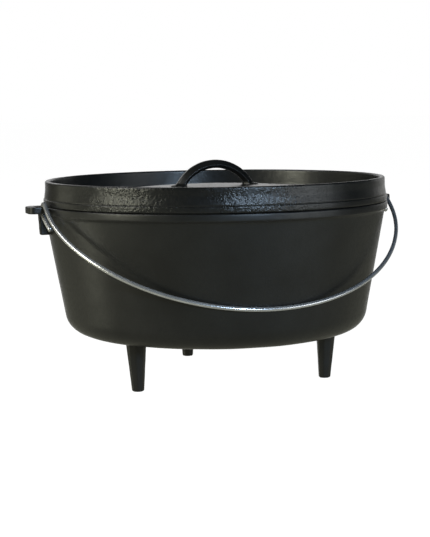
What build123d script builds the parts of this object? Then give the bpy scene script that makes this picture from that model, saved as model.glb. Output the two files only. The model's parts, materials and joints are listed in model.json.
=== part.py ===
from build123d import *
import math
import os

# Camp dutch oven in cast iron, in millimetres: a three-legged pot, a flanged lid that carries
# coals, and a wire bail. The origin is on the floor, on the pot's axis. +Z is up, the two ears
# are on the X axis, and the bail hangs on the -Y side, which is the front.

# Pot
LEG_HEIGHT = 51.7
SEAT_Z = 187.2
POT_BOTTOM_R = 157.6
POT_TOP_R = 179.9
BAND_HEIGHT = 7.0
BAND_R = 182.8
WALL = 4.2
FLOOR = 4.8
POT_CORNER_R = 22.8
BAND_CHAMFER = 1.5
BAND_FOOT_R = 1.2
BAND_EDGE_R = 1.0
SEAT_EDGE_R = 0.8
MOUTH_EDGE_R = 1.2

# Legs: the foot circle, the two radii of the taper and how far the root leans outwards
FOOT_CIRCLE_R = 117.4
FOOT_R = 5.9
LEG_ROOT_R = 10.1
LEG_LEAN = 1.6
FIRST_LEG_AZIMUTH = -152.4
FOOT_EDGE_R = 1.2

# Lid: it sits a little to +X of the pot's axis, within its play in the mouth
LID_SHIFT = 0.7
SEAT_GAP = 0.1
LIP_R = 181.7
LIP_HEIGHT = 7.2
RIM_TOP_Z = 212.4
RIM_R = 179.7
RIM_WALL = 4.6
RIM_FLARE = 1.3
RIM_FLARE_HEIGHT = 9.0
RIM_FLARE_STEP = 0.7
RIM_FLARE_R = 20.0
RIM_EDGE_R = 1.8
LIP_BOTTOM_R = 1.0
LIP_TOP_R = 0.6
CROWN_Z = 204.8
CROWN_RADIUS = 1100.0
PLATE = 4.8
RING_R = 174.2
RING_WALL = 4.0
RING_DEPTH = 5.0
RING_EDGE_R = 1.0

# Lid handle: an arch along X that stands on the crown
HANDLE_TOP_Z = 231.2
HANDLE_HALF_SPAN = 44.0
HANDLE_THICKNESS = 8.8
HANDLE_WIDTH = 14.0
HANDLE_EDGE_R = 3.5
HANDLE_FOOT_SPREAD = 4.0
HANDLE_FOOT_DEPTH = 2.0

# Ears: a level tab with a hole for the bail's hook, and a gusset behind the hole. Each ear's
# blank starts inside the pot and is trimmed by the pot's outside, carried up past the tab.
EAR_REACH = 202.5
EAR_HALF_WIDTH = 14.0
EAR_ROOT_DEPTH = 12.0
TRIM_RISE = 5.0
TAB_TOP_Z = 188.6
TAB_THICKNESS = 7.2
TAB_CORNER_R = 7.0
HOLE_X = 189.2
HOLE_WIDTH = 10.8
HOLE_FRONT_Y = -8.4
HOLE_BACK_Y = 1.8
HOLE_CORNER_R = 2.0
GUSSET_REACH = 189.4
GUSSET_TAPER = 1.6
GUSSET_FRONT_Y = 3.0
GUSSET_BACK_Y = 11.0
GUSSET_BOTTOM_Z = 158.5
EDGE_R = 1.5

# Bail: round wire in one plane, with a hook at each end that wraps the tab's front strip. Each
# hook ends in a tail, given as its length and how far its tip leans towards the pot.
WIRE_R = 2.2
HINGE_Y = -11.2
HINGE_Z = 185.0
HOOK_R = 6.8
LEFT_TAIL = (24.4, 2.5)
RIGHT_TAIL = (14.0, -1.5)
BAIL_HALF_SPAN = 189.2
BAIL_REACH = 181.2
BAIL_SIDE_R = 148.0
BAIL_STRAIGHT = 8.0
BAIL_SHIFT = 2.2
BAIL_HANG = 57.5


def save(shape, name):
    shape.label = name
    export_step(shape, "parts/" + name + ".step")


def turned(outline):
    """Revolve an outline of (radius, height) edges about the Z axis."""
    face = make_face(Plane.XZ * outline)
    return revolve(face, axis=Axis.Z, revolution_arc=360)


def outline_through(points, radii):
    """A closed polyline with its corners rounded; a radius of 0 keeps a corner sharp."""
    edges = Polyline(*points, close=True)
    wire = Wire(edges.edges())
    for point, radius in zip(points, radii):
        if radius > 0:
            corner = min(wire.vertices(), key=lambda v: (Vector(v) - Vector(*point, 0)).length)
            wire = wire.fillet_2d(radius, [corner])
    return wire


def pot_outer_points():
    """The outside of the pot from the axis out and up to the seat."""
    band_z = SEAT_Z - BAND_HEIGHT
    return [
        (0, LEG_HEIGHT),
        (POT_BOTTOM_R, LEG_HEIGHT),
        (POT_TOP_R, band_z - BAND_CHAMFER),
        (BAND_R, band_z),
        (BAND_R, SEAT_Z),
    ]


def make_pot():
    slope = (POT_TOP_R - POT_BOTTOM_R) / (SEAT_Z - BAND_HEIGHT - LEG_HEIGHT)
    mouth_r = POT_TOP_R - WALL
    floor_r = mouth_r - slope * (SEAT_Z - LEG_HEIGHT - FLOOR)
    points = pot_outer_points() + [(mouth_r, SEAT_Z), (floor_r, LEG_HEIGHT + FLOOR), (0, LEG_HEIGHT + FLOOR)]
    outer_radii = [0, POT_CORNER_R, BAND_FOOT_R, BAND_EDGE_R, SEAT_EDGE_R]
    radii = outer_radii + [MOUTH_EDGE_R, POT_CORNER_R - WALL, 0]
    return turned(outline_through(points, radii))


def pot_envelope():
    """The pot as a filled solid, carried on above the seat; it trims the ears flush with the wall."""
    top = TAB_TOP_Z + TRIM_RISE
    points = pot_outer_points()[:-1] + [(BAND_R, top), (0, top)]
    radii = [0, POT_CORNER_R, BAND_FOOT_R, BAND_EDGE_R, 0, 0]
    return turned(outline_through(points, radii))


def make_leg(azimuth):
    """A tapered round leg with a rounded foot, upright on its inner side."""
    foot = Pos(FOOT_CIRCLE_R, 0, 0) * Circle(FOOT_R)
    root = Pos(FOOT_CIRCLE_R + LEG_LEAN, 0, LEG_HEIGHT) * Circle(LEG_ROOT_R)
    leg = loft([foot, root])
    leg = fillet(leg.faces().sort_by(Axis.Z)[0].edges(), FOOT_EDGE_R)
    return Rot(0, 0, azimuth) * leg


def make_ear(side):
    """side is -1 for the ear on -X and +1 for the one on +X."""
    inner_x = POT_TOP_R - EAR_ROOT_DEPTH
    length = EAR_REACH - inner_x
    tab_z = TAB_TOP_Z - TAB_THICKNESS / 2
    tab = Pos(inner_x + length / 2, 0, tab_z) * Box(length, 2 * EAR_HALF_WIDTH, TAB_THICKNESS)
    tab = fillet(tab.edges().filter_by(Axis.Z).group_by(Axis.X)[-1], TAB_CORNER_R)
    hole_y = (HOLE_FRONT_Y + HOLE_BACK_Y) / 2
    hole = Box(HOLE_WIDTH, HOLE_BACK_Y - HOLE_FRONT_Y, 4 * TAB_THICKNESS)
    hole = fillet(hole.edges().filter_by(Axis.Z), HOLE_CORNER_R)
    tab -= Pos(HOLE_X, hole_y, tab_z) * hole
    tab = fillet(tab.faces().sort_by(Axis.Z)[-1].edges(), EDGE_R)
    tab = fillet(tab.faces().sort_by(Axis.Z)[0].edges(), EDGE_R)
    side_view = Polyline(
        (inner_x, tab_z),
        (GUSSET_REACH, tab_z),
        (GUSSET_REACH - GUSSET_TAPER, GUSSET_BOTTOM_Z),
        (inner_x, GUSSET_BOTTOM_Z),
        close=True,
    )
    gusset_y = (GUSSET_FRONT_Y + GUSSET_BACK_Y) / 2
    gusset_face = Plane.XZ.offset(-gusset_y) * make_face(side_view)
    gusset = extrude(gusset_face, (GUSSET_BACK_Y - GUSSET_FRONT_Y) / 2, both=True)
    outer_face = gusset.faces().sort_by(Axis.X)[-1]
    gusset = fillet(outer_face.edges().sort_by(Axis.Z)[:-1], EDGE_R)
    ear = (tab + gusset) - pot_envelope()
    return ear if side > 0 else mirror(ear, about=Plane.YZ)


def crown_height(radius):
    """Height of the lid's domed upper face at a radius from the axis."""
    return CROWN_Z - CROWN_RADIUS + math.sqrt(CROWN_RADIUS**2 - radius**2)


def make_lid():
    """The domed plate and the ring under its edge that centres the lid in the mouth."""
    ring_inner = RING_R - RING_WALL
    ring_bottom = SEAT_Z + SEAT_GAP - RING_DEPTH
    top = ThreePointArc((0, CROWN_Z), (RING_R / 2, crown_height(RING_R / 2)), (RING_R, crown_height(RING_R)))
    ring = Polyline(
        (RING_R, crown_height(RING_R)),
        (RING_R, ring_bottom),
        (ring_inner, ring_bottom),
        (ring_inner, crown_height(ring_inner) - PLATE),
    )
    bottom = ThreePointArc(
        (ring_inner, crown_height(ring_inner) - PLATE),
        (ring_inner / 2, crown_height(ring_inner / 2) - PLATE),
        (0, CROWN_Z - PLATE),
    )
    axis_side = Line((0, CROWN_Z - PLATE), (0, CROWN_Z))
    plate = turned(Wire([top.edge()] + ring.edges() + [bottom.edge(), axis_side.edge()]))
    return Pos(LID_SHIFT, 0, 0) * fillet(plate.edges().group_by(Axis.Z)[0], RING_EDGE_R)


def make_lid_rim():
    """The flange that rests on the pot and the rim that keeps the coals on the lid."""
    lip_top = SEAT_Z + LIP_HEIGHT
    inner_r = RIM_R - RIM_WALL
    rim = outline_through(
        [
            (RING_R, SEAT_Z + SEAT_GAP),
            (LIP_R, SEAT_Z + SEAT_GAP),
            (LIP_R, lip_top),
            (RIM_R + RIM_FLARE, lip_top + RIM_FLARE_STEP),
            (RIM_R, lip_top + RIM_FLARE_HEIGHT),
            (RIM_R, RIM_TOP_Z),
            (inner_r, RIM_TOP_Z),
            (inner_r, crown_height(RING_R)),
            (RING_R, crown_height(RING_R)),
        ],
        [0, LIP_BOTTOM_R, LIP_TOP_R, 0, RIM_FLARE_R, RIM_EDGE_R, RIM_EDGE_R, 0, 0],
    )
    return Pos(LID_SHIFT, 0, 0) * turned(rim)


def make_lid_handle():
    """An arch of rounded section whose feet follow the crown."""
    base_z = crown_height(HANDLE_HALF_SPAN) - HANDLE_FOOT_DEPTH
    rise = HANDLE_TOP_Z - base_z
    half = HANDLE_HALF_SPAN
    outer_r = (half**2 + rise**2) / (2 * rise)
    inner_half = half - HANDLE_THICKNESS - HANDLE_FOOT_SPREAD
    inner_rise = rise - HANDLE_THICKNESS
    inner_r = (inner_half**2 + inner_rise**2) / (2 * inner_rise)
    outer = Pos(0, base_z + rise - outer_r) * Circle(outer_r)
    inner = Pos(0, base_z + inner_rise - inner_r) * Circle(inner_r)
    above_crown = Pos(0, base_z + outer_r) * Rectangle(4 * outer_r, 2 * outer_r)
    arch = extrude(Plane.XZ * ((outer - inner) & above_crown), HANDLE_WIDTH / 2, both=True)
    arch = Pos(LID_SHIFT, 0, 0) * fillet(arch.edges().filter_by(GeomType.CIRCLE), HANDLE_EDGE_R)
    return arch - make_lid()


def bail_path():
    """The wire's centre line in its own plane: x along the ears, y away from them."""
    a = BAIL_HALF_SPAN
    r = HOOK_R
    # the crown arc is tangent to both side arcs and reaches BAIL_REACH
    rise = BAIL_STRAIGHT - BAIL_REACH + BAIL_SIDE_R
    extra = -((a - BAIL_SIDE_R) ** 2 + rise**2) / (2 * rise)
    crown_r = BAIL_SIDE_R + extra
    crown_y = BAIL_REACH - crown_r
    join = math.atan2(BAIL_STRAIGHT - crown_y, a - BAIL_SIDE_R)
    join_x = crown_r * math.cos(join)
    join_y = crown_y + crown_r * math.sin(join)
    mid_x = a - BAIL_SIDE_R + BAIL_SIDE_R * math.cos(join / 2)
    mid_y = BAIL_STRAIGHT + BAIL_SIDE_R * math.sin(join / 2)
    halves = []
    for s, (tail, lean) in ((-1, LEFT_TAIL), (1, RIGHT_TAIL)):
        halves.append(
            [
                TangentArc((s * a, 0, 2 * r), (s * (a - lean), tail, 2 * r), tangent=(0, 1, 0)),
                ThreePointArc((s * a, 0, 2 * r), (s * a, -r, r), (s * a, 0, 0)),
                Line((s * a, 0, 0), (s * a, BAIL_STRAIGHT, 0)),
                ThreePointArc((s * a, BAIL_STRAIGHT, 0), (s * mid_x, mid_y, 0), (s * join_x, join_y, 0)),
            ]
        )
    crown = ThreePointArc((-join_x, join_y, 0), (0, BAIL_REACH, 0), (join_x, join_y, 0))
    edges = halves[0] + [crown] + halves[1][::-1]
    return Wire([line.edge() for line in edges])


def make_bail():
    path = bail_path()
    start = Plane(origin=path @ 0, z_dir=path % 0)
    wire = sweep(start * Circle(WIRE_R), path=path)
    hang = math.radians(BAIL_HANG)
    outward = Vector(0, -math.cos(hang), math.sin(hang))
    hinge = Vector(BAIL_SHIFT, HINGE_Y, HINGE_Z)
    plane = Plane(origin=hinge + outward * HOOK_R, x_dir=(1, 0, 0), z_dir=-outward)
    return plane.location * wire


os.makedirs("parts", exist_ok=True)
save(make_pot(), "pot")
for number, leg_name in enumerate(["front_left_leg", "front_right_leg", "rear_leg"]):
    save(make_leg(FIRST_LEG_AZIMUTH + 120 * number), leg_name)
save(make_ear(-1), "left_ear")
save(make_ear(1), "right_ear")
save(make_lid(), "lid")
save(make_lid_rim(), "lid_rim")
save(make_lid_handle(), "lid_handle")
save(make_bail(), "bail")
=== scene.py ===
import json
import math

import bmesh
import bpy
import numpy as np
from mathutils import Matrix, Vector, noise


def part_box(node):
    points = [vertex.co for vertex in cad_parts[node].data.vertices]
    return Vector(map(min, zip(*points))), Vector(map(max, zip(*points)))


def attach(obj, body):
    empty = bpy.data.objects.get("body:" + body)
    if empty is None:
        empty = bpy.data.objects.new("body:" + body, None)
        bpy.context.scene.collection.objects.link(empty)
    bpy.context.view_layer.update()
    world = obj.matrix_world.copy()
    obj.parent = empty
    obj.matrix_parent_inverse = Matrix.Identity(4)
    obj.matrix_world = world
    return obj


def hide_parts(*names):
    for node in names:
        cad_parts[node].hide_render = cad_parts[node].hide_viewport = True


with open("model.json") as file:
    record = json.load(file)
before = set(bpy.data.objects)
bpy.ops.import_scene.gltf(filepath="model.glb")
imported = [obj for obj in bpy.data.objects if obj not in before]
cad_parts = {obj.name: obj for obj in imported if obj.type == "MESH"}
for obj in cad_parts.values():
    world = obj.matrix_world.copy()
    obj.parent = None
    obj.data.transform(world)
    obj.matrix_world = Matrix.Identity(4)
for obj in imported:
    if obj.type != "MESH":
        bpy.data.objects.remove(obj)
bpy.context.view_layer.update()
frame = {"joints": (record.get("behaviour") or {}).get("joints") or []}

# A cast iron camp oven. Lengths are in metres; the main heights and radii come from the packed
# frame. A value that ends in _ROUND is the radius that a corner of an outline is rounded to.
MM = 0.001

pot_low, pot_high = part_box("pot")
lid_low, lid_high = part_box("lid")
lip_low, lip_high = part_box("lid_rim")
handle_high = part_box("lid_handle")[1]
ear_low, ear_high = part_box("right_ear")

# Pot
BOTTOM_Z = pot_low.z
SEAT_Z = pot_high.z
BAND_R = pot_high.x
BAND_HEIGHT = 7.0 * MM
BAND_PROUD = 2.9 * MM
BAND_CHAMFER = 2.2 * MM
BAND_Z = SEAT_Z - BAND_HEIGHT
WALL_TAPER = 22.3 * MM
POT_TOP_R = BAND_R - BAND_PROUD
POT_BOTTOM_R = POT_TOP_R - WALL_TAPER
WALL = 4.2 * MM
FLOOR = 4.8 * MM
CORNER_R = 22.8 * MM
WALL_TOP_ROUND = 2.5 * MM
BAND_LOW_ROUND = 1.3 * MM
BAND_TOP_ROUND = 1.2 * MM
MOUTH_ROUND = 1.6 * MM

# Legs
FOOT_CIRCLE_R = 117.4 * MM
FOOT_R = 6.0 * MM
LEG_ROOT_R = 10.2 * MM
LEG_LEAN = 1.6 * MM
LEG_EDGE_R = 1.4 * MM
LEG_FILLET_R = 3.2 * MM
LEG_SINK = 1.5 * MM
LEG_SMOOTH_HEIGHT = 6.0 * MM
LEG_SIDES = 48
LEG_RINGS = 26
LEG_EDGE_STEPS = 6
LEG_FILLET_STEPS = 8
LEG_ROUNDNESS = 0.2
LEG_MID_FACTOR = 0.97
FIRST_LEG_AZIMUTH = -152.4

# Lid
LID_X = (lid_low.x + lid_high.x) / 2
LIP_R = (lip_high.x - lip_low.x) / 2
SEAT_GAP = 0.1 * MM
LIP_HEIGHT = 7.2 * MM
LIP_LEDGE = 2.0 * MM
LIP_TOP_Z = SEAT_Z + LIP_HEIGHT
RIM_TOP_Z = lip_high.z
RIM_R = LIP_R - LIP_LEDGE
RIM_FLARE_HEIGHT = 9.0 * MM
RIM_FLARE_ROUND = 25.0 * MM
RIM_FOOT_OUT = 1.15 * MM
RIM_FOOT_HEIGHT = 0.9 * MM
RIM_FOOT_ROUND = 0.7 * MM
RIM_GROOVE_OUT = 0.8 * MM
RIM_GROOVE_DEPTH = 0.5 * MM
RIM_GROOVE_ROUND = 0.3 * MM
RIM_OUTER_ROUND = 1.7 * MM
RIM_INNER_ROUND = 1.9 * MM
RIM_WALL = 4.6 * MM
CROWN_Z = lid_high.z
CROWN_RADIUS = 1100 * MM
CROWN_POINTS = 60
TRAY_TAPER = 0.8 * MM
TRAY_ROUND = 5.0 * MM
TRAY_ROUND_POINTS = 3
PLATE = 4.8 * MM
LIP_LOW_ROUND = 1.6 * MM
LIP_TOP_ROUND = 0.7 * MM
RING_R = (lid_high.x - lid_low.x) / 2
RING_WALL = 4.0 * MM
RING_TAPER = 0.4 * MM
RING_ROOT_ROUND = 2.5 * MM
RING_ROUND = 1.2 * MM
RING_SEAT_ROUND = 0.6 * MM

# Lid handle
HANDLE_TOP_Z = handle_high.z
HANDLE_HALF_SPAN = 44.0 * MM
HANDLE_THICKNESS = 8.8 * MM
HANDLE_WIDTH = handle_high.y * 2
HANDLE_FILLET_R = 4.0 * MM
HANDLE_SINK = 4.0 * MM
HANDLE_RIDGE = 0.12
HANDLE_TOP_HALF_WIDTH = 2.4 * MM
HANDLE_UNDER_HALF_WIDTH = 3.0 * MM
HANDLE_TOP_ROUND = 2.6 * MM
HANDLE_RIDGE_ROUND = 0.5 * MM
HANDLE_UNDER_ROUND = 1.4 * MM
HANDLE_RINGS = 120

# Ears
EAR_REACH = ear_high.x
TAB_TOP_Z = ear_high.z
TAB_THICKNESS = 7.2 * MM
TAB_HALF_WIDTH = ear_high.y
TAB_CORNER_R = 7.0 * MM
HOLE_X = 189.2 * MM
HOLE_WIDTH = 10.8 * MM
HOLE_FRONT_Y = -8.4 * MM
HOLE_BACK_Y = 1.8 * MM
GUSSET_REACH = 189.4 * MM
GUSSET_TAPER = 1.6 * MM
GUSSET_FRONT_Y = 3.0 * MM
GUSSET_BACK_Y = 11.0 * MM
EAR_ROOT_DEPTH = 3.0 * MM
HOLE_CUT = 20 * MM
GUSSET_DROP = 3.0 * MM
EAR_VOXEL = 0.55 * MM
EAR_SMOOTHING = 0.5
EAR_SMOOTHING_PASSES = 12
TAB_CORNER_STEPS = 8
BAND_MARGIN = 0.6 * MM
LIP_CLEARANCE = 0.4 * MM

# The slab of wall that an ear's fillets run out on, and how they sink into the pot's skin
SLAB_DROP = 40.0 * MM
SLAB_TOP_GAP = 0.6 * MM
SLAB_HALF_ANGLE = math.radians(8)
SLAB_DEPTH = 3.0 * MM
SLAB_ROWS = 60
SLAB_COLUMNS = 40
FEATHER_HEIGHT = 0.35 * MM
FEATHER_BLEND = 0.2 * MM
FEATHER_SINK = 1.2 * MM

# Bail: each tail is its length and how far its tip leans towards the pot
WIRE_R = 2.2 * MM
HOOK_R = 6.8 * MM
LEFT_TAIL = (24.4 * MM, 2.5 * MM)
RIGHT_TAIL = (14.0 * MM, -1.5 * MM)
BAIL_HALF_SPAN = 189.2 * MM
BAIL_REACH = 181.2 * MM
BAIL_SIDE_R = 148.0 * MM
BAIL_STRAIGHT = 8.0 * MM
BAIL_SHIFT = 2.2 * MM
BAIL_HANG = math.radians(57.5)
WIRE_SIDES = 24
TAIL_STEPS = 12
WIRE_SWELL = 0.12
WIRE_SWELL_LENGTH = 2.5 * MM
HINGE = Vector(next(j["pos_m"] for j in frame["joints"] if j["type"] == "hinge"))

# Mesh density: points along an outline, and segments round the axis
POT_STEP = 2.4 * MM
POT_SEGMENTS = 560
LID_STEP = 1.4 * MM
HANDLE_STEP = 0.8 * MM
LID_SEGMENTS = 1000
BAIL_STEP = 1.5 * MM

# Unevenness of the castings, as (feature size, height) layers
POT_WAVES = [(46 * MM, 0.22 * MM), (15 * MM, 0.08 * MM)]
LEG_WAVES = [(9 * MM, 0.14 * MM)]
EAR_WAVES = [(7 * MM, 0.12 * MM)]
LID_WAVES = [(40 * MM, 0.15 * MM), (9 * MM, 0.1 * MM)]
LID_PEBBLES = [(2.9 * MM, 0.16 * MM), (1.9 * MM, 0.12 * MM)]
HANDLE_WAVES = [(8 * MM, 0.12 * MM)]

# Where the lid's sand was coarse: azimuths in degrees from -Y towards +X, and how far out each
# patch fades in
COARSE_PATCHES = (-47, -4)
PATCH_FADE = (164 * MM, 178 * MM)
PATCH_DEPTH = 2.0 * MM
PATCH_BLEND = 1.5 * MM
PATCH_REST = 0.15

# Closer than this, two places count as one
TINY = 1e-6


# ---------------------------------------------------------------- outlines

def rounded(points, radii, step):
    """Points along an open polyline with rounded corners, at most step apart."""
    path = []
    for i, (point, radius) in enumerate(zip(points, radii)):
        here = Vector(point)
        if radius <= 0 or i in (0, len(points) - 1):
            path.append(here)
            continue
        to_last = (Vector(points[i - 1]) - here).normalized()
        to_next = (Vector(points[i + 1]) - here).normalized()
        half = to_last.angle(to_next) / 2
        centre = here + (to_last + to_next).normalized() * (radius / math.sin(half))
        start = here + to_last * (radius / math.tan(half)) - centre
        turn = start.angle_signed(here + to_next * (radius / math.tan(half)) - centre)
        count = max(4, math.ceil(abs(turn) * radius / step))
        for k in range(count + 1):
            angle = -turn * k / count
            c, s = math.cos(angle), math.sin(angle)
            path.append(centre + Vector((start.x * c - start.y * s, start.x * s + start.y * c)))
    filled = [path[0]]
    for a, b in zip(path, path[1:]):
        count = max(1, math.ceil((b - a).length / step))
        filled += [a.lerp(b, k / count) for k in range(1, count + 1) if (b - a).length > 1e-7]
    return filled


def crown_height(radius):
    """Height of the lid's domed upper face at a radius from the axis."""
    return CROWN_Z - CROWN_RADIUS + math.sqrt(CROWN_RADIUS**2 - radius**2)


def rounded_pairs(pairs, step):
    """The rounded outline of (corner, radius) pairs."""
    return rounded([pair[0] for pair in pairs], [pair[1] for pair in pairs], step)


def pot_outline():
    """Half section of the pot's shell: outside, seat, inside and floor."""
    slope = (POT_TOP_R - POT_BOTTOM_R) / (BAND_Z - BOTTOM_Z)
    mouth_r = POT_TOP_R - WALL
    inside_z = BOTTOM_Z + FLOOR
    inside_r = mouth_r - slope * (SEAT_Z - inside_z)
    corners = [
        ((0, BOTTOM_Z), 0),
        ((POT_BOTTOM_R, BOTTOM_Z), CORNER_R),
        ((POT_TOP_R, BAND_Z - BAND_CHAMFER), WALL_TOP_ROUND),
        ((BAND_R, BAND_Z), BAND_LOW_ROUND),
        ((BAND_R, SEAT_Z), BAND_TOP_ROUND),
        ((mouth_r, SEAT_Z), MOUTH_ROUND),
        ((inside_r, inside_z), CORNER_R - WALL),
        ((0, inside_z), 0),
    ]
    return rounded_pairs(corners, POT_STEP)


POT_OUTLINE = pot_outline()


def pot_wall_r(z):
    """Outer radius of the pot at a height above its bottom corner."""
    profile = [p for p in POT_OUTLINE if p.x > POT_BOTTOM_R - CORNER_R]
    profile = profile[: next(i for i, p in enumerate(profile) if p.y > SEAT_Z - TINY)]
    return float(np.interp(z, [p.y for p in profile], [p.x for p in profile]))


# ---------------------------------------------------------------- meshes

def new_piece(name, verts, faces, body, slot, *nodes):
    """A smooth-shaded mesh object that rides on a body and stands for CAD nodes."""
    mesh = bpy.data.meshes.new(name)
    mesh.from_pydata(verts, [], faces)
    mesh.validate()
    mesh.shade_smooth()
    piece = bpy.data.objects.new(name, mesh)
    bpy.context.scene.collection.objects.link(piece)
    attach(piece, body)
    if nodes:
        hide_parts(*nodes)
    return piece


def turned(outline, segments):
    """Vertices and faces of an outline revolved about Z; ends on the axis become poles."""
    verts, rings = [], []
    for p in outline:
        if p.x < TINY:
            rings.append([len(verts)])
            verts.append((0, 0, p.y))
            continue
        rings.append(list(range(len(verts), len(verts) + segments)))
        for k in range(segments):
            a = 2 * math.pi * k / segments
            verts.append((p.x * math.cos(a), p.x * math.sin(a), p.y))
    faces = []
    for low, high in zip(rings, rings[1:]):
        for k in range(segments):
            n = (k + 1) % segments
            if len(low) == 1:
                faces.append((low[0], high[n], high[k]))
            elif len(high) == 1:
                faces.append((low[k], low[n], high[0]))
            else:
                faces.append((low[k], low[n], high[n], high[k]))
    return verts, faces


def swept(rings):
    """Faces that join rings of equal length, with a flat cap at each end."""
    count = len(rings[0])
    verts = [tuple(v) for ring in rings for v in ring]
    faces = []
    for r in range(len(rings) - 1):
        for k in range(count):
            n = (k + 1) % count
            faces.append((r * count + k, r * count + n, (r + 1) * count + n, (r + 1) * count + k))
    faces.append(tuple(reversed(range(count))))
    faces.append(tuple(range((len(rings) - 1) * count, len(rings) * count)))
    return verts, faces


def outwards(piece):
    """Turns a closed mesh's faces to point outwards."""
    work = bmesh.new()
    work.from_mesh(piece.data)
    bmesh.ops.recalc_face_normals(work, faces=work.faces)
    work.to_mesh(piece.data)
    work.free()
    piece.data.shade_smooth()
    return piece


def roughen(piece, layers, where=None):
    """Moves vertices along their normals by noise, as sand moulding leaves them.

    layers are (feature size, height) pairs; where(co) scales the effect from 0 to 1."""
    mesh = piece.data
    count = len(mesh.vertices)
    co = np.empty(count * 3)
    mesh.vertices.foreach_get("co", co)
    co = co.reshape(-1, 3)
    normals = np.array([v.normal for v in mesh.vertices])
    shift = np.zeros(count)
    for size, height in layers:
        shift += [height * noise.noise(Vector(p) / size) for p in co]
    if where is not None:
        shift *= np.array([where(p) for p in co])
    mesh.vertices.foreach_set("co", (co + normals * shift[:, None]).ravel())
    mesh.update()
    return piece


def keep_inside(piece, *nodes):
    """Trims the noise's crests so that a piece stays inside the box of its CAD nodes."""
    boxes = [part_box(node) for node in nodes]
    low = [min(box[0][i] for box in boxes) for i in range(3)]
    high = [max(box[1][i] for box in boxes) for i in range(3)]
    mesh = piece.data
    co = np.empty(len(mesh.vertices) * 3)
    mesh.vertices.foreach_get("co", co)
    co = np.clip(co.reshape(-1, 3), low, high)
    mesh.vertices.foreach_set("co", co.ravel())
    mesh.update()


# ---------------------------------------------------------------- materials

IRON_DARK = (0.0095, 0.0095, 0.0088, 1)
IRON_LIGHT = (0.016, 0.016, 0.0145, 1)
IRON_SPECK = (0.006, 0.006, 0.006, 1)
STEEL_BRIGHT = (0.78, 0.78, 0.785, 1)
STEEL_DULL = (0.62, 0.62, 0.625, 1)
PEBBLE = 0.6 * MM


class Tree:
    """A short way to write a material's nodes."""

    def __init__(self, name):
        self.material = bpy.data.materials.new(name)
        self.material.use_nodes = True
        self.nodes = self.material.node_tree.nodes
        self.links = self.material.node_tree.links
        self.shader = self.nodes["Principled BSDF"]
        self.place = self.nodes.new("ShaderNodeTexCoord").outputs["Object"]

    def link(self, value, socket):
        if isinstance(value, bpy.types.NodeSocket):
            self.links.new(value, socket)
        else:
            socket.default_value = value

    def noise(self, size, detail=2.0, rough=0.5):
        node = self.nodes.new("ShaderNodeTexNoise")
        node.inputs["Scale"].default_value = 1 / size
        node.inputs["Detail"].default_value = detail
        node.inputs["Roughness"].default_value = rough
        self.link(self.place, node.inputs["Vector"])
        return node.outputs["Fac"]

    def remap(self, value, low, high, to_low=0.0, to_high=1.0):
        node = self.nodes.new("ShaderNodeMapRange")
        self.link(value, node.inputs["Value"])
        node.inputs["From Min"].default_value = low
        node.inputs["From Max"].default_value = high
        node.inputs["To Min"].default_value = to_low
        node.inputs["To Max"].default_value = to_high
        return node.outputs["Result"]

    def math(self, operation, a, b):
        node = self.nodes.new("ShaderNodeMath")
        node.operation = operation
        self.link(a, node.inputs[0])
        self.link(b, node.inputs[1])
        return node.outputs["Value"]

    def along(self, way):
        """How far a point lies along a direction, in metres."""
        node = self.nodes.new("ShaderNodeVectorMath")
        node.operation = "DOT_PRODUCT"
        self.link(self.place, node.inputs[0])
        node.inputs[1].default_value = way
        return node.outputs["Value"]

    def mix(self, factor, a, b):
        """Two colours mixed; the node's colour sockets can be told apart only by number."""
        node = self.nodes.new("ShaderNodeMix")
        node.data_type = "RGBA"
        self.link(factor, node.inputs["Factor"])
        self.link(a, node.inputs[6])
        self.link(b, node.inputs[7])
        return node.outputs[2]

    def bump(self, height, depth, strength=1.0, under=None):
        node = self.nodes.new("ShaderNodeBump")
        node.inputs["Distance"].default_value = depth
        self.link(strength, node.inputs["Strength"])
        self.link(height, node.inputs["Height"])
        if under is not None:
            self.link(under, node.inputs["Normal"])
        return node.outputs["Normal"]


def cast_iron(name, gloss, patches=()):
    """Seasoned sand-cast iron. gloss is its roughness range; patches lists the azimuths, from -Y
    towards +X, where the mould's sand was coarse and left a pebbled skin."""
    t = Tree(name)
    clouds = t.remap(t.noise(55 * MM, 3, 0.55), 0.35, 0.68)
    specks = t.remap(t.noise(3.2 * MM, 2, 0.6), 0.4, 0.7)
    colour = t.mix(clouds, IRON_DARK, IRON_LIGHT)
    t.link(t.mix(t.math("MULTIPLY", specks, 0.35), colour, IRON_SPECK), t.shader.inputs["Base Color"])
    coarse = 0.0
    for azimuth in patches:
        a = math.radians(azimuth)
        reach = t.along((math.sin(a), -math.cos(a), 0))
        coarse = t.math("MAXIMUM", coarse, t.remap(reach, PATCH_FADE[0], PATCH_FADE[1]))
    edge = t.remap(t.noise(14 * MM, 2, 0.6), 0.35, 0.6, 0.35, 1.0)
    coarse = t.math("MULTIPLY", coarse, edge)
    skin = t.math("ADD", t.remap(clouds, 0, 1, *gloss), t.remap(specks, 0, 1, -0.03, 0.04))
    t.link(t.math("SUBTRACT", skin, t.math("MULTIPLY", coarse, 0.1)), t.shader.inputs["Roughness"])
    t.shader.inputs["Specular IOR Level"].default_value = 0.5
    grain = t.bump(t.noise(0.75 * MM, 2, 0.6), 0.05 * MM, 0.5)
    strength = t.remap(coarse, 0, 1, 0.12, 1.0)
    pebbled = t.bump(t.noise(1.9 * MM, 2, 0.55), PEBBLE, strength, grain)
    waves = t.bump(t.noise(17 * MM, 1.5, 0.5), 0.1 * MM, 0.7, pebbled)
    t.link(waves, t.shader.inputs["Normal"])
    return t.material


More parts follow.
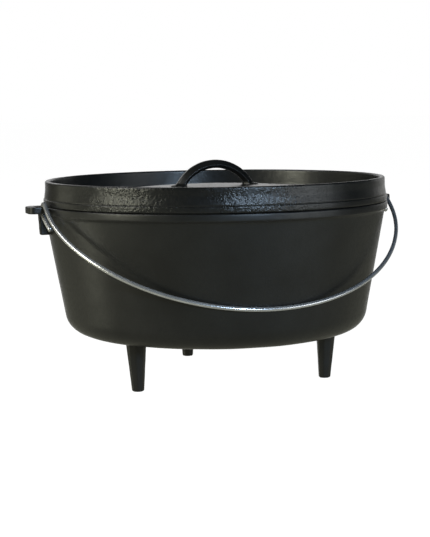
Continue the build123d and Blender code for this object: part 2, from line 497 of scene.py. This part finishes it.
def bail_steel():
    """Bright plated drawn wire with fine lines, faint scuffs and duller patches."""
    t = Tree("bail_steel")
    patches = t.remap(t.noise(14 * MM, 3, 0.6), 0.35, 0.7)
    t.link(t.mix(patches, STEEL_BRIGHT, STEEL_DULL), t.shader.inputs["Base Color"])
    t.shader.inputs["Metallic"].default_value = 0.75
    t.link(t.remap(patches, 0, 1, 0.22, 0.28), t.shader.inputs["Roughness"])
    lines = t.bump(t.noise(0.4 * MM, 1, 0.5), 0.002 * MM, 0.3)
    t.link(lines, t.shader.inputs["Normal"])
    return t.material


# ---------------------------------------------------------------- pot

def make_pot(iron):
    """The pot's shell as one turned casting."""
    verts, faces = turned(POT_OUTLINE, POT_SEGMENTS)
    pot = outwards(new_piece("pot_casting", verts, faces, "pot", "seasoned_iron", "pot"))
    roughen(pot, POT_WAVES)
    keep_inside(pot, "pot")
    pot.data.materials.append(iron)
    return pot


def leg_section(angle):
    """Radius factor of the leg's softly eight-sided section, centred on about 1."""
    facet = (angle % (math.pi / 4)) - math.pi / 8
    flat = math.cos(math.pi / 8) / math.cos(facet)
    return (LEG_ROUNDNESS + (1 - LEG_ROUNDNESS) * flat) / LEG_MID_FACTOR


def make_leg(name, node, azimuth, iron):
    """A tapered leg with a rounded foot and a small fillet where it meets the pot."""
    fillet = LEG_FILLET_R
    edge = LEG_EDGE_R
    edge_turns = [k * math.pi / (2 * LEG_EDGE_STEPS) for k in range(LEG_EDGE_STEPS + 1)]
    fillet_turns = [k * math.pi / (2 * LEG_FILLET_STEPS) for k in range(1, LEG_FILLET_STEPS + 1)]
    heights = [edge * (1 - math.cos(a)) for a in edge_turns]
    heights += list(np.linspace(edge, BOTTOM_Z - fillet, LEG_RINGS))[1:]
    heights += [BOTTOM_Z - fillet * (1 - math.sin(a)) for a in fillet_turns]
    heights += [BOTTOM_Z + LEG_SINK]
    turn = Matrix.Rotation(math.radians(azimuth), 3, "Z")
    rings = []
    for z in heights:
        t = min(z / BOTTOM_Z, 1.0)
        radius = FOOT_R + (LEG_ROOT_R - FOOT_R) * t
        if z < edge:
            radius -= edge - math.sqrt(max(0.0, edge**2 - (edge - z) ** 2))
        reach = min(fillet, max(0.0, z - (BOTTOM_Z - fillet)))
        radius += fillet - math.sqrt(max(0.0, fillet**2 - reach**2))
        centre = FOOT_CIRCLE_R + LEG_LEAN * t
        ring = []
        for k in range(LEG_SIDES):
            a = 2 * math.pi * k / LEG_SIDES
            r = radius * leg_section(a)
            ring.append(turn @ Vector((centre + r * math.cos(a), r * math.sin(a), z)))
        rings.append(ring)
    verts, faces = swept(rings)
    leg = outwards(new_piece(name, verts, faces, "pot", "seasoned_iron", node))
    roughen(leg, LEG_WAVES, lambda p: min(1.0, p[2] / LEG_SMOOTH_HEIGHT))
    keep_inside(leg, node)
    leg.data.materials.append(iron)
    return leg


def block(low, high):
    """A box as a bmesh."""
    work = bmesh.new()
    bmesh.ops.create_cube(work, size=1)
    size = Vector(high) - Vector(low)
    bmesh.ops.scale(work, vec=size, verts=work.verts)
    bmesh.ops.translate(work, vec=(Vector(low) + Vector(high)) / 2, verts=work.verts)
    return work


def loose(name, work):
    """A scratch object from a bmesh."""
    mesh = bpy.data.meshes.new(name)
    work.to_mesh(mesh)
    work.free()
    scratch = bpy.data.objects.new(name, mesh)
    bpy.context.scene.collection.objects.link(scratch)
    return scratch


def evaluated(scratch):
    """The mesh of an object with its modifiers applied."""
    graph = bpy.context.evaluated_depsgraph_get()
    return bpy.data.meshes.new_from_object(scratch.evaluated_get(graph), depsgraph=graph)


def edge_loop(rows):
    """The vertices round the edge of a grid, in order."""
    first, last = rows[0], rows[-1]
    return first + [row[-1] for row in rows[1:]] + last[-2::-1] + [row[0] for row in rows[-2:0:-1]]


def wall_slab():
    """A slab of the pot's wall behind the ear, which the ear's fillets run out on."""
    work = bmesh.new()
    heights = np.linspace(TAB_TOP_Z - SLAB_DROP, SEAT_Z - SLAB_TOP_GAP, SLAB_ROWS)
    angles = np.linspace(-SLAB_HALF_ANGLE, SLAB_HALF_ANGLE, SLAB_COLUMNS)
    grids = []
    for depth in (0.0, SLAB_DEPTH):
        rows = []
        for z in heights:
            r = pot_wall_r(z) - depth
            rows.append([work.verts.new((r * math.cos(a), r * math.sin(a), z)) for a in angles])
        grids.append(rows)
    front, back = grids
    for rows, flip in ((front, False), (back, True)):
        for low, high in zip(rows, rows[1:]):
            for k in range(len(angles) - 1):
                quad = (low[k], low[k + 1], high[k + 1], high[k])
                work.faces.new(reversed(quad) if flip else quad)
    front_edge, back_edge = edge_loop(front), edge_loop(back)
    for k in range(len(front_edge)):
        n = (k + 1) % len(front_edge)
        work.faces.new((front_edge[k], back_edge[k], back_edge[n], front_edge[n]))
    bmesh.ops.recalc_face_normals(work, faces=work.faces)
    return work


def make_ear(name, node, side, iron):
    """Tab, gusset and wall fillets as one soft-edged casting."""
    inner = POT_TOP_R - EAR_ROOT_DEPTH
    tab = loose("tab", block((inner, -TAB_HALF_WIDTH, TAB_TOP_Z - TAB_THICKNESS),
                             (EAR_REACH, TAB_HALF_WIDTH, TAB_TOP_Z)))
    hole = loose("hole", block((HOLE_X - HOLE_WIDTH / 2, HOLE_FRONT_Y, TAB_TOP_Z - HOLE_CUT),
                               (HOLE_X + HOLE_WIDTH / 2, HOLE_BACK_Y, TAB_TOP_Z + HOLE_CUT)))
    cut = tab.modifiers.new("cut", "BOOLEAN")
    cut.operation = "DIFFERENCE"
    cut.object = hole
    work = bmesh.new()
    work.from_mesh(evaluated(tab))
    upright = [e for e in work.edges if abs(e.verts[0].co.z - e.verts[1].co.z) > 1 * MM]
    corner = [e for e in upright if all(abs(v.co.x - EAR_REACH) < TINY for v in e.verts)]
    bmesh.ops.bevel(work, geom=corner, offset=TAB_CORNER_R, segments=TAB_CORNER_STEPS,
                    profile=0.5, affect="EDGES")
    gusset = block((inner, GUSSET_FRONT_Y, ear_low.z),
                   (GUSSET_REACH, GUSSET_BACK_Y, TAB_TOP_Z - GUSSET_DROP))
    for v in gusset.verts:
        if v.co.x > inner + 1 * MM and v.co.z < ear_low.z + 1 * MM:
            v.co.x -= GUSSET_TAPER
    for part in (gusset, wall_slab()):
        extra = bpy.data.meshes.new("extra")
        part.to_mesh(extra)
        part.free()
        work.from_mesh(extra)
    rough = loose("rough", work)
    voxels = rough.modifiers.new("voxels", "REMESH")
    voxels.mode = "VOXEL"
    voxels.voxel_size = EAR_VOXEL
    soft = rough.modifiers.new("soft", "SMOOTH")
    soft.factor = EAR_SMOOTHING
    soft.iterations = EAR_SMOOTHING_PASSES
    mesh = evaluated(rough)
    co = np.array([v.co for v in mesh.vertices])
    radius = np.hypot(co[:, 0], co[:, 1])
    proud = radius - np.array([pot_wall_r(z) for z in co[:, 2]])
    sink = np.clip((FEATHER_HEIGHT - proud) / FEATHER_BLEND, 0, 1) * FEATHER_SINK
    keep = 1 - sink / radius
    co[:, 0] *= keep
    co[:, 1] *= keep
    by_band = np.hypot(co[:, 0], co[:, 1]) < BAND_R + BAND_MARGIN
    co[by_band, 2] = np.minimum(co[by_band, 2], SEAT_Z - LIP_CLEARANCE)
    co[:, 0] *= side
    mesh.vertices.foreach_set("co", co.ravel())
    for scratch in (tab, hole, rough):
        bpy.data.objects.remove(scratch)
    ear = bpy.data.objects.new(name, mesh)
    bpy.context.scene.collection.objects.link(ear)
    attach(ear, "pot")
    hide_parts(node)
    outwards(ear)
    roughen(ear, EAR_WAVES)
    keep_inside(ear, node, "pot")
    ear.data.materials.clear()
    ear.data.materials.append(iron)
    return ear


# ---------------------------------------------------------------- lid

def make_lid(iron):
    """Plate, lip, coal rim and locating ring in one turned casting."""
    seat = SEAT_Z + SEAT_GAP
    inner_r = RIM_R - RIM_WALL
    ring_inner = RING_R - RING_WALL
    tray_r = inner_r - TRAY_TAPER
    under = [(r, crown_height(r) - PLATE) for r in np.linspace(0, ring_inner, CROWN_POINTS)]
    crown = [(r, crown_height(r)) for r in np.linspace(inner_r, 0, CROWN_POINTS)]
    corners = [(p, 0) for p in under]
    corners[-1] = (under[-1], RING_ROOT_ROUND)
    corners += [
        ((ring_inner + RING_TAPER, lid_low.z), RING_ROUND),
        ((RING_R, lid_low.z), RING_ROUND),
        ((RING_R, seat), RING_SEAT_ROUND),
        ((LIP_R, seat), LIP_LOW_ROUND),
        ((LIP_R, LIP_TOP_Z), LIP_TOP_ROUND),
        ((RIM_R + RIM_GROOVE_OUT, LIP_TOP_Z - RIM_GROOVE_DEPTH), RIM_GROOVE_ROUND),
        ((RIM_R + RIM_FOOT_OUT, LIP_TOP_Z + RIM_FOOT_HEIGHT), RIM_FOOT_ROUND),
        ((RIM_R, LIP_TOP_Z + RIM_FLARE_HEIGHT), RIM_FLARE_ROUND),
        ((RIM_R, RIM_TOP_Z), RIM_OUTER_ROUND),
        ((inner_r, RIM_TOP_Z), RIM_INNER_ROUND),
        ((tray_r, crown_height(tray_r)), TRAY_ROUND),
    ]
    # The crown's outermost points would lie inside the tray's rounding
    corners += [(p, 0) for p in crown[TRAY_ROUND_POINTS:]]
    verts, faces = turned(rounded_pairs(corners, LID_STEP), LID_SEGMENTS)
    lid = outwards(new_piece("lid_casting", verts, faces, "lid", "lid_iron", "lid", "lid_rim"))
    roughen(lid, LID_WAVES)
    roughen(lid, LID_PEBBLES, pebbles)
    for v in lid.data.vertices:
        v.co.x += LID_X
    keep_inside(lid, "lid", "lid_rim")
    lid.data.materials.append(iron)
    return lid


def pebbles(p):
    """How coarse the lid's sand grain is: most in the outer wall's pebbled patches."""
    if p[2] < SEAT_Z + 1.5 * MM:
        return 0.0
    outer = min(1.0, max(0.0, (math.hypot(p[0], p[1]) - RIM_R + PATCH_DEPTH) / PATCH_BLEND))
    patch = 0.0
    for azimuth in COARSE_PATCHES:
        a = math.radians(azimuth)
        reach = p[0] * math.sin(a) - p[1] * math.cos(a)
        patch = max(patch, min(1.0, (reach - PATCH_FADE[0]) / (PATCH_FADE[1] - PATCH_FADE[0])))
    return PATCH_REST + (1 - PATCH_REST) * outer * patch


def handle_section():
    """The arch's section as (outward, sideways): six soft facets that meet in a ridge each side."""
    half = HANDLE_WIDTH / 2
    top = HANDLE_THICKNESS / 2
    ridge = -HANDLE_RIDGE * HANDLE_THICKNESS
    near = [(top, HANDLE_TOP_HALF_WIDTH), (ridge, half), (-top, HANDLE_UNDER_HALF_WIDTH)]
    corners = near + [(u, -v) for u, v in reversed(near)]
    radii = [HANDLE_TOP_ROUND, HANDLE_RIDGE_ROUND, HANDLE_UNDER_ROUND]
    radii += radii[::-1]
    loop = rounded([(top, 0), *corners, (top, 0)], [0, *radii, 0], HANDLE_STEP)
    return [(p.x, p.y) for p in loop[:-1]]


def make_handle(iron):
    """The arch is swept over the crown; its feet flare into it."""
    fillet = HANDLE_FILLET_R
    rise = HANDLE_TOP_Z - crown_height(HANDLE_HALF_SPAN)
    outer_r = (HANDLE_HALF_SPAN**2 + rise**2) / (2 * rise)
    centre_z = HANDLE_TOP_Z - outer_r
    middle_r = outer_r - HANDLE_THICKNESS / 2
    reach = math.acos((crown_height(HANDLE_HALF_SPAN) - HANDLE_SINK - centre_z) / middle_r)
    section = handle_section()
    rings = []
    for k in range(HANDLE_RINGS + 1):
        a = reach * (2 * k / HANDLE_RINGS - 1)
        out = Vector((math.sin(a), 0, math.cos(a)))
        ring = []
        for i, (u, v) in enumerate(section):
            before, after = section[i - 1], section[(i + 1) % len(section)]
            along = Vector((after[0] - before[0], after[1] - before[1])).normalized()
            face = (out * along.y + Vector((0, -along.x, 0))).normalized()
            p = out * (middle_r + u) + Vector((0, v, centre_z))
            gap = p.z - crown_height(math.hypot(p.x, p.y))
            near = min(fillet, max(0.0, fillet - gap))
            ring.append(p + face * (fillet - math.sqrt(fillet**2 - near**2)))
        rings.append(ring)
    verts, faces = swept(rings)
    handle = outwards(new_piece("handle_casting", verts, faces, "lid", "lid_iron", "lid_handle"))
    roughen(handle, HANDLE_WAVES)
    for v in handle.data.vertices:
        v.co.x += LID_X
    keep_inside(handle, "lid_handle", "lid")
    handle.data.materials.append(iron)
    return handle


# ---------------------------------------------------------------- bail

def bail_line(step):
    """The wire's centre line in its own plane: x along the ears, y away from them."""
    a, r = BAIL_HALF_SPAN, HOOK_R
    rise = BAIL_STRAIGHT - BAIL_REACH + BAIL_SIDE_R
    crown_r = BAIL_SIDE_R - ((a - BAIL_SIDE_R) ** 2 + rise**2) / (2 * rise)
    crown_y = BAIL_REACH - crown_r
    join = math.atan2(BAIL_STRAIGHT - crown_y, a - BAIL_SIDE_R)

    def arc(centre, radius, start, end, flat):
        count = max(6, math.ceil(abs(end - start) * radius / step))
        for k in range(count + 1):
            t = start + (end - start) * k / count
            c, s = radius * math.cos(t), radius * math.sin(t)
            yield Vector((centre[0] + c, centre[1] + s, 0)) if flat else Vector((a, c, r + s))

    sides = []
    for sign, (tail, lean) in ((1, RIGHT_TAIL), (-1, LEFT_TAIL)):
        ends = (1 - k / TAIL_STEPS for k in range(TAIL_STEPS))
        half = [Vector((a - lean * t * t, tail * t, 2 * r)) for t in ends]
        half += [Vector((a, p.y, p.z)) for p in arc((a, 0), r, math.pi / 2, 3 * math.pi / 2, False)]
        half += [Vector((a, BAIL_STRAIGHT / 2, 0))]
        half += arc((a - BAIL_SIDE_R, BAIL_STRAIGHT), BAIL_SIDE_R, 0, join, True)
        sides.append([Vector((sign * p.x, p.y, p.z)) for p in half])
    crown = list(arc((0, crown_y), crown_r, join, math.pi - join, True))
    return sides[0] + crown[1:-1] + sides[1][::-1]


def make_bail(steel):
    """Round wire along the line, with slightly swollen sheared ends."""
    line = bail_line(BAIL_STEP)
    across = Vector((0, -math.cos(BAIL_HANG), math.sin(BAIL_HANG)))
    away = Vector((0, -math.sin(BAIL_HANG), -math.cos(BAIL_HANG)))
    start = HINGE + across * HOOK_R + Vector((BAIL_SHIFT, 0, 0))
    points = [start + Vector((1, 0, 0)) * p.x + away * p.y - across * p.z for p in line]
    lengths = np.cumsum([0] + [(b - a).length for a, b in zip(points, points[1:])])
    side = Vector((1, 0, 0))
    rings = []
    for i, p in enumerate(points):
        ahead = (points[min(i + 1, len(points) - 1)] - points[max(i - 1, 0)]).normalized()
        side = (side - ahead * side.dot(ahead)).normalized()
        third = ahead.cross(side)
        end = min(lengths[i], lengths[-1] - lengths[i])
        radius = WIRE_R * (1 + WIRE_SWELL * math.exp(-((end / WIRE_SWELL_LENGTH) ** 2)))
        rings.append([p + (side * math.cos(t) + third * math.sin(t)) * radius
                      for t in np.linspace(0, 2 * math.pi, WIRE_SIDES, endpoint=False)])
    verts, faces = swept(rings)
    bail = outwards(new_piece("bail_wire", verts, faces, "bail", "bail_wire", "bail"))
    keep_inside(bail, "bail")
    bail.data.materials.append(steel)
    return bail


# ---------------------------------------------------------------- studio

CAMERA_AZIMUTH = -19.0
CAMERA_DISTANCE = 1.4573
CAMERA_HEIGHT = 0.28714
CAMERA_PITCH = 0.1178
CAMERA_ROLL = -0.0145
CAMERA_YAW = 0.00033
CAMERA_LENS = 91.69
LIGHT_DISTANCE = 2.2
FLOOR_BOUNCE = 0.3
FLOOR_BOUNCE_EASE = (0.0, 0.3)
FLOOR_BOUNCE_COLOUR = (1, 1, 0.8)
BACK_GLOW = 1.4
BACK_GLOW_EASE = (0.86, 0.99)
WARM = (1, 1, 0.79)
COOL = (0.58, 0.77, 1)
NEUTRAL = (1, 1, 0.97)
BOX = (0.8, 0.7)
WIDE = (1.3, 0.7)
FLOOR_HALF = 30.0
FLOOR_GREY = 0.3
FLOOR_WHITENESS = 0.99


def soft_box(name, azimuth, elevation, size, power, colour):
    """An area light aimed at the pot; azimuth is to the camera's right of its own side."""
    lamp = bpy.data.lights.new(name, "AREA")
    lamp.shape = "RECTANGLE"
    lamp.size, lamp.size_y = size
    lamp.energy = power
    lamp.color = colour
    light = bpy.data.objects.new(name, lamp)
    a, e = math.radians(CAMERA_AZIMUTH + azimuth), math.radians(elevation)
    way = Vector((math.sin(a) * math.cos(e), -math.cos(a) * math.cos(e), math.sin(e)))
    light.location = Vector((0, 0, SEAT_Z / 2)) + way * LIGHT_DISTANCE
    light.rotation_euler = (-way).to_track_quat("-Z", "Y").to_euler()
    bpy.context.scene.collection.objects.link(light)


def make_floor():
    """A white floor for the camera only: it casts no light or shadow on the oven."""
    mesh = bpy.data.meshes.new("floor")
    s = FLOOR_HALF
    mesh.from_pydata([(-s, -s, 0), (s, -s, 0), (s, s, 0), (-s, s, 0)], [], [(0, 1, 2, 3)])
    floor = bpy.data.objects.new("floor", mesh)
    bpy.context.scene.collection.objects.link(floor)
    material = bpy.data.materials.new("floor_white")
    material.use_nodes = True
    shader = material.node_tree.nodes["Principled BSDF"]
    shader.inputs["Base Color"].default_value = (FLOOR_GREY, FLOOR_GREY, FLOOR_GREY, 1)
    shader.inputs["Roughness"].default_value = 0.9
    shader.inputs["Specular IOR Level"].default_value = 0.0
    shader.inputs["Emission Color"].default_value = (1, 1, 1, 1)
    shader.inputs["Emission Strength"].default_value = FLOOR_WHITENESS
    mesh.materials.append(material)
    floor.visible_glossy = False
    floor.visible_diffuse = False
    floor.visible_shadow = False
    return floor


def make_world(behind):
    """White to the camera; for lighting, a floor's bounce from below and a glow behind the oven."""
    world = bpy.data.worlds.new("studio")
    bpy.context.scene.world = world
    world.use_nodes = True
    nodes, links = world.node_tree.nodes, world.node_tree.links
    nodes.clear()
    place = nodes.new("ShaderNodeTexCoord").outputs["Generated"]

    def toward(way, start, full):
        """0 to 1 as the cosine of a ray's angle to a direction goes from start to full."""
        dot = nodes.new("ShaderNodeVectorMath")
        dot.operation = "DOT_PRODUCT"
        links.new(place, dot.inputs[0])
        dot.inputs[1].default_value = way
        ease = nodes.new("ShaderNodeMapRange")
        ease.interpolation_type = "SMOOTHSTEP"
        links.new(dot.outputs["Value"], ease.inputs["Value"])
        ease.inputs["From Min"].default_value = start
        ease.inputs["From Max"].default_value = full
        return ease.outputs["Result"]

    def glow(colour, strength, factor):
        light = nodes.new("ShaderNodeBackground")
        light.inputs["Color"].default_value = (*colour, 1)
        scale = nodes.new("ShaderNodeMath")
        scale.operation = "MULTIPLY"
        scale.inputs[1].default_value = strength
        links.new(factor, scale.inputs[0])
        links.new(scale.outputs["Value"], light.inputs["Strength"])
        return light.outputs["Background"]

    room = nodes.new("ShaderNodeAddShader")
    below = toward((0, 0, -1), *FLOOR_BOUNCE_EASE)
    links.new(glow(FLOOR_BOUNCE_COLOUR, FLOOR_BOUNCE, below), room.inputs[0])
    links.new(glow((1, 1, 1), BACK_GLOW, toward(behind, *BACK_GLOW_EASE)), room.inputs[1])
    white = nodes.new("ShaderNodeBackground")
    white.inputs["Color"].default_value = (1, 1, 1, 1)
    path = nodes.new("ShaderNodeLightPath")
    mix = nodes.new("ShaderNodeMixShader")
    links.new(path.outputs["Is Camera Ray"], mix.inputs["Fac"])
    links.new(room.outputs["Shader"], mix.inputs[1])
    links.new(white.outputs["Background"], mix.inputs[2])
    out = nodes.new("ShaderNodeOutputWorld")
    links.new(mix.outputs["Shader"], out.inputs["Surface"])


def make_camera():
    data = bpy.data.cameras.new("camera")
    data.sensor_width = 36
    data.lens = CAMERA_LENS
    camera = bpy.data.objects.new("camera", data)
    bpy.context.scene.collection.objects.link(camera)
    a = math.radians(CAMERA_AZIMUTH)
    camera.location = (math.sin(a) * CAMERA_DISTANCE, -math.cos(a) * CAMERA_DISTANCE, CAMERA_HEIGHT)
    turn = Matrix.Rotation(a + CAMERA_YAW, 3, "Z") @ Matrix.Rotation(math.pi / 2 - CAMERA_PITCH, 3, "X")
    camera.rotation_euler = (turn @ Matrix.Rotation(CAMERA_ROLL, 3, "Z")).to_euler()
    bpy.context.scene.camera = camera


pot_iron = cast_iron("pot_iron", (0.36, 0.42))
lid_iron = cast_iron("lid_iron", (0.33, 0.39), COARSE_PATCHES)
make_pot(pot_iron)
for number, leg_name in enumerate(["front_left_leg", "front_right_leg", "rear_leg"]):
    make_leg(leg_name + "_casting", leg_name, FIRST_LEG_AZIMUTH + 120 * number, pot_iron)
make_ear("left_ear_casting", "left_ear", -1, pot_iron)
make_ear("right_ear_casting", "right_ear", 1, pot_iron)
make_lid(lid_iron)
make_handle(lid_iron)
make_bail(bail_steel())

make_camera()
make_floor()
behind = math.radians(CAMERA_AZIMUTH)
make_world((-math.sin(behind), math.cos(behind), 0))
soft_box("left_floor", -92, -14, (0.6, 0.25), 1.6, WARM)
soft_box("left_low", -62, 10, (0.5, 0.5), 12, WARM)
soft_box("left_high", -70, 36, WIDE, 17, NEUTRAL)
soft_box("right_low", 25, 17, (0.25, 0.3), 20, COOL)
soft_box("right_side", 60, 6, WIDE, 8.0, (0.92, 0.97, 1))
soft_box("left_back", -112, 6, BOX, 1.5, WARM)
soft_box("right_back", 140, 8, BOX, 1.2, NEUTRAL)
soft_box("rear_left", -150, 24, BOX, 1.8, NEUTRAL)

scene = bpy.context.scene
scene.view_settings.view_transform = "Standard"
